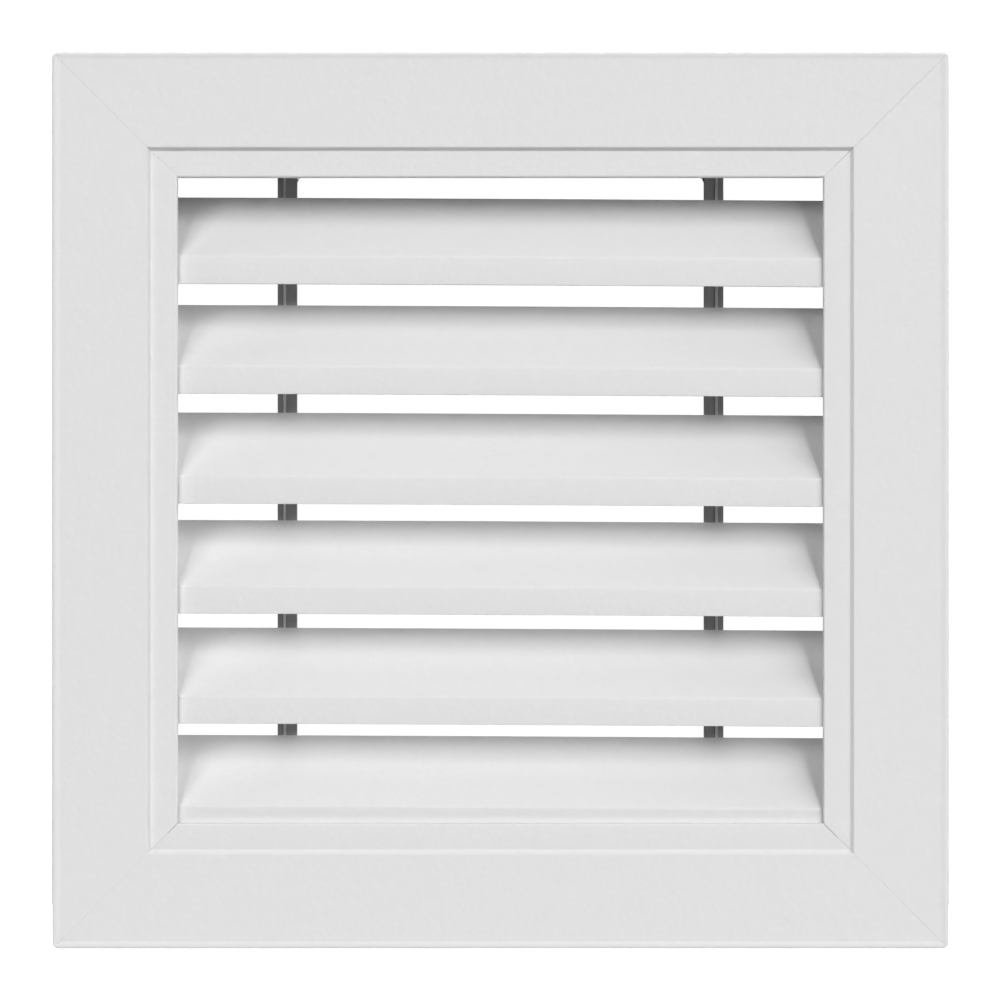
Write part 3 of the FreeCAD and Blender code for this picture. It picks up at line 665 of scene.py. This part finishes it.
class GrilleSizeSettings(bpy.types.PropertyGroup):
    """Sizes of the pieces that are drawn again here in finer form."""

    louvre_thick: length_property("Louvre thickness", "Wall of a blade", 1.0)
    louvre_rise: length_property("Rise", "Height of a blade's sloped face", 15.25)
    louvre_lip: length_property("Lip", "Height of a blade's upright front lip", 6.35)
    louvre_hem: length_property("Hem", "Height of the hem at the back of a blade", 5.0)
    crease_radius: length_property("Crease radius", "Round between lip and slope", 1.0)
    hem_radius: length_property("Hem radius", "Round between slope and hem", 0.3)
    crease_inner: length_property("Inner crease radius", "Round behind the crease", 0.5)
    hem_inner: length_property("Inner hem radius", "Round under the hem", 0.15)
    edge_radius: length_property("Edge radius", "Rounds at the free edges", 0.15)
    louvre_roll: FloatProperty(name="Roll", description="Blades hang lower on the right",
                               subtype="ANGLE", default=math.radians(0.3))
    louvre_bow: length_property("Bow", "Rise of a blade's middle over its ends", 0.08)
    broken_edge: length_property("Broken edge", "Width of the eased edges", 0.12)
    mitre_reach: length_property("Mitre reach", "Gap closed at each end of a length", 0.045)
    band_outer: length_property("Band outside", "From the middle to the step", 79.6)
    head_height: length_property("Head height", "Height of a screw's head", 1.5)
    shank_width: length_property("Shank width", "Width of a screw's shank", 2.5)
    recess_length: length_property("Recess length", "Cross recess from wing to wing", 2.6)
    recess_width: length_property("Recess width", "Width of a wing of the recess", 0.6)
    recess_depth: length_property("Recess depth", "Depth of the cross recess", 0.8)


class GrilleStudioSettings(bpy.types.PropertyGroup):
    """Camera, lights, floor and backdrop."""

    camera_distance: length_property("Camera distance", "From the flange to the lens", 660.0)
    focal_length: FloatProperty(name="Focal length", description="Lens in millimetres",
                                unit="CAMERA", min=1.0, default=104.87)
    left_panel: power_property("Left panel", "Main light, at the front left", 180.0)
    left_strip: power_property("Left strip", "Tall narrow light, nearer the middle", 112.0)
    right_low: power_property("Right low light", "Light at the grille's own height", 82.0)
    right_strip: power_property("Right strip", "Tall light beside the right panel", 158.0)
    right_panel: power_property("Right panel", "Main light, at the front right", 72.0)
    right_wide: power_property("Right wide light", "Broad light further to the right", 200.0)
    under: power_property("Under", "Small light close below, at the front", 2.6)
    top_back: power_property("Top fill", "Light over the grille, a little behind it", 14.0)
    side_left: power_property("Left side", "Light on the left side", 26.0)
    side_right: power_property("Right side", "Light on the right side", 27.0)
    back_right: power_property("Back right", "Light behind, on the right", 50.0)
    back_high: power_property("Back high", "Light behind, from above", 38.0)
    back_low: power_property("Back low", "Light behind, from below", 17.0)
    room_light: FloatProperty(name="Room light", description="Even light from all sides",
                              min=0.0, default=0.005)
    print_gamma: FloatProperty(name="Print gamma", min=0.1, default=0.8,
                               description="Contrast of the picture, stronger when lower")
    dome_radius: length_property("Dome radius", "Radius of the white backdrop", 6000.0)
    dome_glow: FloatProperty(name="Dome glow", description="Light of the backdrop",
                             min=0.0, default=1.02)
    floor_drop: length_property("Floor drop", "Floor below the middle of the grille", 500.0)
    floor_radius: length_property("Floor radius", "Radius of the round floor", 3000.0)
    floor_fade: length_property("Floor fade", "Where the floor has turned pure white", 1500.0)
    floor_tone: colour_property("Floor", "Board of the floor", "#F0F0F0")
    floor_glow: FloatProperty(name="Floor glow", description="Light out of the floor's middle",
                              min=0.0, default=0.55)


def show_piece(piece, nodes):
    """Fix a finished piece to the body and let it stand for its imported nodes."""
    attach(piece, BODY)
    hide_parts(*nodes)


class GRILLE_OT_frame(bpy.types.Operator):
    """Coat the four mitred lengths of the frame"""

    bl_idname = "grille.frame"
    bl_label = "Frame"

    def execute(self, context):
        sizes = context.scene.grille_sizes
        coat = powder_coat("Frame powder coat", context.scene.grille_finish)
        for node in FRAME_NODES:
            flat_angle = MELTED_ANGLE if node == "frame_top" else FLAT_ANGLE
            piece = eased_copy(node, "coated_" + node, coat, sizes.broken_edge, flat_angle)
            close_mitres(piece, sizes.band_outer, sizes.mitre_reach)
            show_piece(piece, [node])
        return {"FINISHED"}


class GRILLE_OT_louvres(bpy.types.Operator):
    """Draw the six louvres as one row of blades"""

    bl_idname = "grille.louvres"
    bl_label = "Louvres"

    def execute(self, context):
        sizes = context.scene.grille_sizes
        low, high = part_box(LOUVRE_NODES[0])
        next_low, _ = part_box(LOUVRE_NODES[1])
        # The box of a rolled blade is longer than the blade, and its left end hangs higher
        roll_sine, roll_cosine = math.sin(sizes.louvre_roll), math.cos(sizes.louvre_roll)
        lean = (sizes.louvre_lip + sizes.louvre_rise) * roll_sine
        length = (high.x - low.x - lean) / roll_cosine
        crease = low.z + sizes.louvre_lip * roll_cosine + length / 2 * roll_sine
        coat = powder_coat("Louvre powder coat", context.scene.grille_finish)
        row = grown_piece("louvre_row", louvre_row_tree(blade_tree()), {
            "Length": length,
            "Rise": sizes.louvre_rise,
            "Run": high.y - low.y,
            "Thickness": sizes.louvre_thick,
            "Lip": sizes.louvre_lip,
            "Hem": sizes.louvre_hem,
            "Crease Radius": sizes.crease_radius,
            "Hem Radius": sizes.hem_radius,
            "Crease Inner Radius": sizes.crease_inner,
            "Hem Inner Radius": sizes.hem_inner,
            "Edge Radius": sizes.edge_radius,
            "Count": len(LOUVRE_NODES),
            "Pitch": low.z - next_low.z,
            "Top Crease": crease,
            "Lip Depth": low.y,
            "Roll": sizes.louvre_roll,
            "Bow": sizes.louvre_bow,
            "Material": coat,
        }, coat)
        show_piece(row, LOUVRE_NODES)
        return {"FINISHED"}


class GRILLE_OT_combs(bpy.types.Operator):
    """Give the two combs their moulded plastic"""

    bl_idname = "grille.combs"
    bl_label = "Combs"

    def execute(self, context):
        plastic = moulded_plastic("Moulded comb plastic", context.scene.grille_finish)
        for node in COMB_NODES:
            piece = eased_copy(node, "moulded_" + node, plastic,
                               context.scene.grille_sizes.broken_edge)
            show_piece(piece, [node])
        return {"FINISHED"}


class GRILLE_OT_keys(bpy.types.Operator):
    """Galvanise the four corner keys"""

    bl_idname = "grille.keys"
    bl_label = "Corner keys"

    def execute(self, context):
        finish = context.scene.grille_finish
        zinc = zinc_coated_steel("Hot dip galvanised key", finish, finish.key_crystals)
        for node in KEY_NODES:
            piece = eased_copy(node, "galvanised_" + node, zinc,
                               context.scene.grille_sizes.broken_edge)
            show_piece(piece, [node])
        return {"FINISHED"}


class GRILLE_OT_screws(bpy.types.Operator):
    """Turn the four pan head screws that hold the combs"""

    bl_idname = "grille.screws"
    bl_label = "Comb screws"

    def execute(self, context):
        finish = context.scene.grille_finish
        sizes = context.scene.grille_sizes
        low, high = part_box("comb_screw_top_right")
        far_low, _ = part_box("comb_screw_bottom_left")
        zinc = zinc_coated_steel("Zinc plated screw", finish, finish.screw_crystals)
        screws = grown_piece("comb_screws", screw_set_tree(pan_screw_tree()), {
            "Head Width": high.x - low.x,
            "Head Height": sizes.head_height,
            "Shank Width": sizes.shank_width,
            "Shank Length": high.z - low.z - sizes.head_height,
            "Recess Length": sizes.recess_length,
            "Recess Width": sizes.recess_width,
            "Recess Depth": sizes.recess_depth,
            "Span Across": low.x - far_low.x,
            "Span Up": 2 * (low.z + sizes.head_height),
            "Depth": (low.y + high.y) / 2,
            "Material": zinc,
        }, zinc)
        show_piece(screws, SCREW_NODES)
        return {"FINISHED"}


def hang_light(name, bearings, heights, distance, power):
    """Hang one soft light that spans these bearings and heights and faces the grille."""
    bearing = math.radians(sum(bearings) / 2)
    height = math.radians(sum(heights) / 2)
    half_wide = math.radians(bearings[1] - bearings[0]) / 2
    half_tall = math.radians(heights[1] - heights[0]) / 2
    lamp = bpy.data.lights.new(name, "AREA")
    lamp.shape = "RECTANGLE"
    lamp.size = 2 * distance * math.cos(height) * math.tan(half_wide)
    lamp.size_y = 2 * distance * math.tan(half_tall)
    lamp.energy = power
    place = distance * Vector((math.sin(bearing) * math.cos(height),
                               -math.cos(bearing) * math.cos(height), math.sin(height)))
    holder = bpy.data.objects.new(name, lamp)
    holder.location = place
    holder.rotation_euler = (-place).to_track_quat("-Z", "Y").to_euler()
    holder.visible_camera = False
    bpy.context.scene.collection.objects.link(holder)


def add_surround(name, shell, material):
    """Stand a floor or backdrop in the scene, which the camera sees and the light ignores."""
    mesh = bpy.data.meshes.new(name)
    shell.to_mesh(mesh)
    shell.free()
    mesh.materials.append(material)
    surround = bpy.data.objects.new(name, mesh)
    bpy.context.scene.collection.objects.link(surround)
    surround.visible_diffuse = False
    surround.visible_glossy = False
    surround.visible_shadow = False


class GRILLE_OT_stage(bpy.types.Operator):
    """Set up the floor, the backdrop, the soft lights and the camera"""

    bl_idname = "grille.stage"
    bl_label = "Stage"

    def execute(self, context):
        studio = context.scene.grille_studio
        self.add_floor(studio)
        self.add_dome(studio)
        self.add_room_light(context.scene, studio)
        for name, (bearings, heights, distance) in LIGHTS.items():
            hang_light(name, bearings, heights, distance, getattr(studio, name))
        self.add_camera(context.scene, studio)
        context.scene.view_settings.view_transform = "Standard"
        context.scene.view_settings.gamma = studio.print_gamma
        return {"FINISHED"}

    def add_floor(self, studio):
        """Lay a round board below the grille."""
        board = bmesh.new()
        bmesh.ops.create_circle(board, cap_ends=True, segments=128, radius=studio.floor_radius)
        bmesh.ops.translate(board, verts=board.verts, vec=(0.0, 0.0, -studio.floor_drop))
        add_surround("floor", board, lit_board("Lit white board", studio))

    def add_dome(self, studio):
        """Hang white cloth all round, as far off as a studio's walls."""
        cloth = bmesh.new()
        bmesh.ops.create_uvsphere(cloth, u_segments=64, v_segments=32, radius=studio.dome_radius)
        bmesh.ops.reverse_faces(cloth, faces=cloth.faces)
        add_surround("backdrop", cloth, white_cloth("Backlit white cloth", studio))

    def add_room_light(self, scene, studio):
        """Fill the shadows with a little even light."""
        world = bpy.data.worlds.new("Room light")
        scene.world = world
        world.use_nodes = True
        tree = world.node_tree
        tree.nodes.clear()
        light = add_node(tree, "ShaderNodeBackground", {
            "Color": linear("#FFFFFF"), "Strength": studio.room_light})
        add_node(tree, "ShaderNodeOutputWorld", {"Surface": light})

    def add_camera(self, scene, studio):
        """Look straight at the flange, level with the middle of the grille."""
        lens = bpy.data.cameras.new("camera")
        lens.lens = studio.focal_length
        lens.sensor_width = 36.0
        holder = bpy.data.objects.new("camera", lens)
        holder.location = (0.0, CAD_BOX[0].y - studio.camera_distance, 0.0)
        holder.rotation_euler = (math.pi / 2, 0.0, 0.0)
        scene.collection.objects.link(holder)
        scene.camera = holder


OPERATORS = (GRILLE_OT_frame, GRILLE_OT_louvres, GRILLE_OT_combs, GRILLE_OT_keys,
             GRILLE_OT_screws, GRILLE_OT_stage)


class GRILLE_PT_panel(bpy.types.Panel):
    """Steps and settings of the grille"""

    bl_idname = "GRILLE_PT_panel"
    bl_label = "Louvred vent grille"
    bl_space_type = "VIEW_3D"
    bl_region_type = "UI"
    bl_category = "Grille"

    def draw(self, context):
        for operator in OPERATORS:
            self.layout.operator(operator.bl_idname)
        for settings in (context.scene.grille_finish, context.scene.grille_sizes,
                         context.scene.grille_studio):
            box = self.layout.box()
            for name in settings.__annotations__:
                box.prop(settings, name)


CLASSES = (GrilleFinishSettings, GrilleSizeSettings, GrilleStudioSettings,
           *OPERATORS, GRILLE_PT_panel)


def register():
    """Register the classes and hang the settings on the scene."""
    for item in CLASSES:
        bpy.utils.register_class(item)
    bpy.types.Scene.grille_finish = PointerProperty(type=GrilleFinishSettings)
    bpy.types.Scene.grille_sizes = PointerProperty(type=GrilleSizeSettings)
    bpy.types.Scene.grille_studio = PointerProperty(type=GrilleStudioSettings)


def unregister():
    """Take the settings and the classes away again."""
    del bpy.types.Scene.grille_studio
    del bpy.types.Scene.grille_sizes
    del bpy.types.Scene.grille_finish
    for item in reversed(CLASSES):
        bpy.utils.unregister_class(item)


def main():
    """Build every piece and the stage."""
    register()
    bpy.ops.grille.frame()
    bpy.ops.grille.louvres()
    bpy.ops.grille.combs()
    bpy.ops.grille.keys()
    bpy.ops.grille.screws()
    bpy.ops.grille.stage()


if __name__ == "__main__":
    main()
